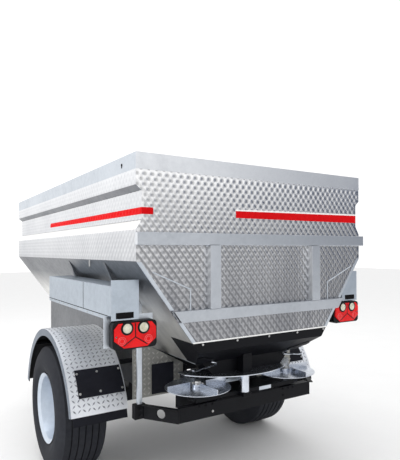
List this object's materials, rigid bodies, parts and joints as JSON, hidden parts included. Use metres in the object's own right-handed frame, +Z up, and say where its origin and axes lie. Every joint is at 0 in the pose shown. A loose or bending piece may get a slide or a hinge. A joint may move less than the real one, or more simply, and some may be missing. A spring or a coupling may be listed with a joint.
{
  "type": "trailed salt spreader",
  "caption": "Trailed salt spreader with a long embossed aluminium hopper, floor auger, spinning discs at the rear, wheels under mudguards and an A-frame drawbar on a parking jack.",
  "frame": {"origin": "on the ground, mid width and mid length of the machine", "axes": "X right, Y forward to the towing eye, Z up"},
  "size_m": [2.45, 5.162, 2.543],
  "materials": {
    "sheet_aluminium": "embossed sheet",
    "plain_aluminium": "smooth sheet",
    "checker_aluminium": "checker sheet",
    "frame_black": "satin black paint",
    "bright_steel": "brushed",
    "rim_silver": "silver paint",
    "tyre_rubber": "matt rubber",
    "flap_rubber": "matt rubber",
    "lamp_body": "moulded",
    "lamp_red": "clear red",
    "lamp_clear": "clear"
  },
  "bodies": {
    "chassis": {"chassis_beams": "frame_black", "crossmembers": "frame_black", "outriggers": "frame_black", "hopper_saddles": "frame_black", "skirts": "plain_aluminium", "drawbar_arms": "frame_black", "drawbar_crosspiece": "frame_black", "drawbar_head": "frame_black", "towing_eye": "bright_steel", "jack_tube": "frame_black", "jack_crank": "bright_steel", "axle_beam": "frame_black", "axle_seats": "frame_black", "mudguards": "checker_aluminium", "mudguard_stays": "frame_black", "rubber_flaps": "flap_rubber", "hopper_walls": "sheet_aluminium", "hopper_slopes": "plain_aluminium", "hopper_floor": "plain_aluminium", "hopper_rear": "sheet_aluminium", "hopper_front": "sheet_aluminium", "rim_bands": "plain_aluminium", "rear_rails": "plain_aluminium", "rear_posts": "plain_aluminium", "rear_trims": "plain_aluminium", "slope_ribs": "plain_aluminium", "side_boxes": "plain_aluminium", "housing_back": "frame_black", "housing_sides": "frame_black", "gate_levers": "frame_black", "drop_chute": "frame_black", "shutter_plate": "bright_steel", "shaft_bearings": "frame_black", "auger_drive": "frame_black", "rear_crossbeam": "frame_black", "hangers": "frame_black", "bumper_bar": "frame_black", "bumper_arms": "frame_black", "rear_strut": "plain_aluminium", "splash_shields": "checker_aluminium", "shield_flaps": "flap_rubber", "carrier_plate": "frame_black", "disc_gearbox": "frame_black", "disc_motor": "frame_black", "motor_neck": "bright_steel", "lamp_brackets": "plain_aluminium", "lamp_housings": "lamp_body", "lamp_lenses": "lamp_red", "lamp_clears": "lamp_clear"},
    "left_wheel": {"wheel_left": "rim_silver", "tyre_left": "tyre_rubber"},
    "right_wheel": {"wheel_right": "rim_silver", "tyre_right": "tyre_rubber"},
    "left_disc": {"disc_left": "bright_steel"},
    "right_disc": {"disc_right": "bright_steel"},
    "auger": {"auger_shaft": "bright_steel", "auger_flight": "bright_steel"},
    "left_agitator": {"agitator_left": "bright_steel"},
    "right_agitator": {"agitator_right": "bright_steel"},
    "jack": {"jack_leg": "bright_steel"}
  },
  "joints": [
    {"name": "wheel_left_spin", "type": "hinge", "parent": "chassis", "child": "left_wheel", "pos_m": [-1.015, -0.958, 0.536], "axis": [1, 0, 0], "continuous": true},
    {"name": "wheel_right_spin", "type": "hinge", "parent": "chassis", "child": "right_wheel", "pos_m": [1.015, -0.958, 0.536], "axis": [1, 0, 0], "continuous": true},
    {"name": "disc_left_spin", "type": "hinge", "parent": "chassis", "child": "left_disc", "pos_m": [-0.427, -2.265, 0.918], "axis": [0, 0, 1], "continuous": true},
    {"name": "disc_right_spin", "type": "hinge", "parent": "chassis", "child": "right_disc", "pos_m": [0.427, -2.265, 0.918], "axis": [0, 0, 1], "continuous": true},
    {"name": "auger_spin", "type": "hinge", "parent": "chassis", "child": "auger", "pos_m": [0, -0.736, 1.273], "axis": [0, 1, 0], "continuous": true},
    {"name": "agitator_left_spin", "type": "hinge", "parent": "chassis", "child": "left_agitator", "pos_m": [-0.33, -0.736, 1.233], "axis": [0, 1, 0], "continuous": true},
    {"name": "agitator_right_spin", "type": "hinge", "parent": "chassis", "child": "right_agitator", "pos_m": [0.33, -0.736, 1.233], "axis": [0, 1, 0], "continuous": true},
    {"name": "jack_slide", "type": "slide", "parent": "chassis", "child": "jack", "axis": [0, 0, 1], "range_m": [0, 0.35]}
  ],
  "couplings": [
    {"joint": "disc_right_spin", "follows": "disc_left_spin", "ratio": -1},
    {"joint": "agitator_left_spin", "follows": "auger_spin", "ratio": 1},
    {"joint": "agitator_right_spin", "follows": "auger_spin", "ratio": 1}
  ]
}
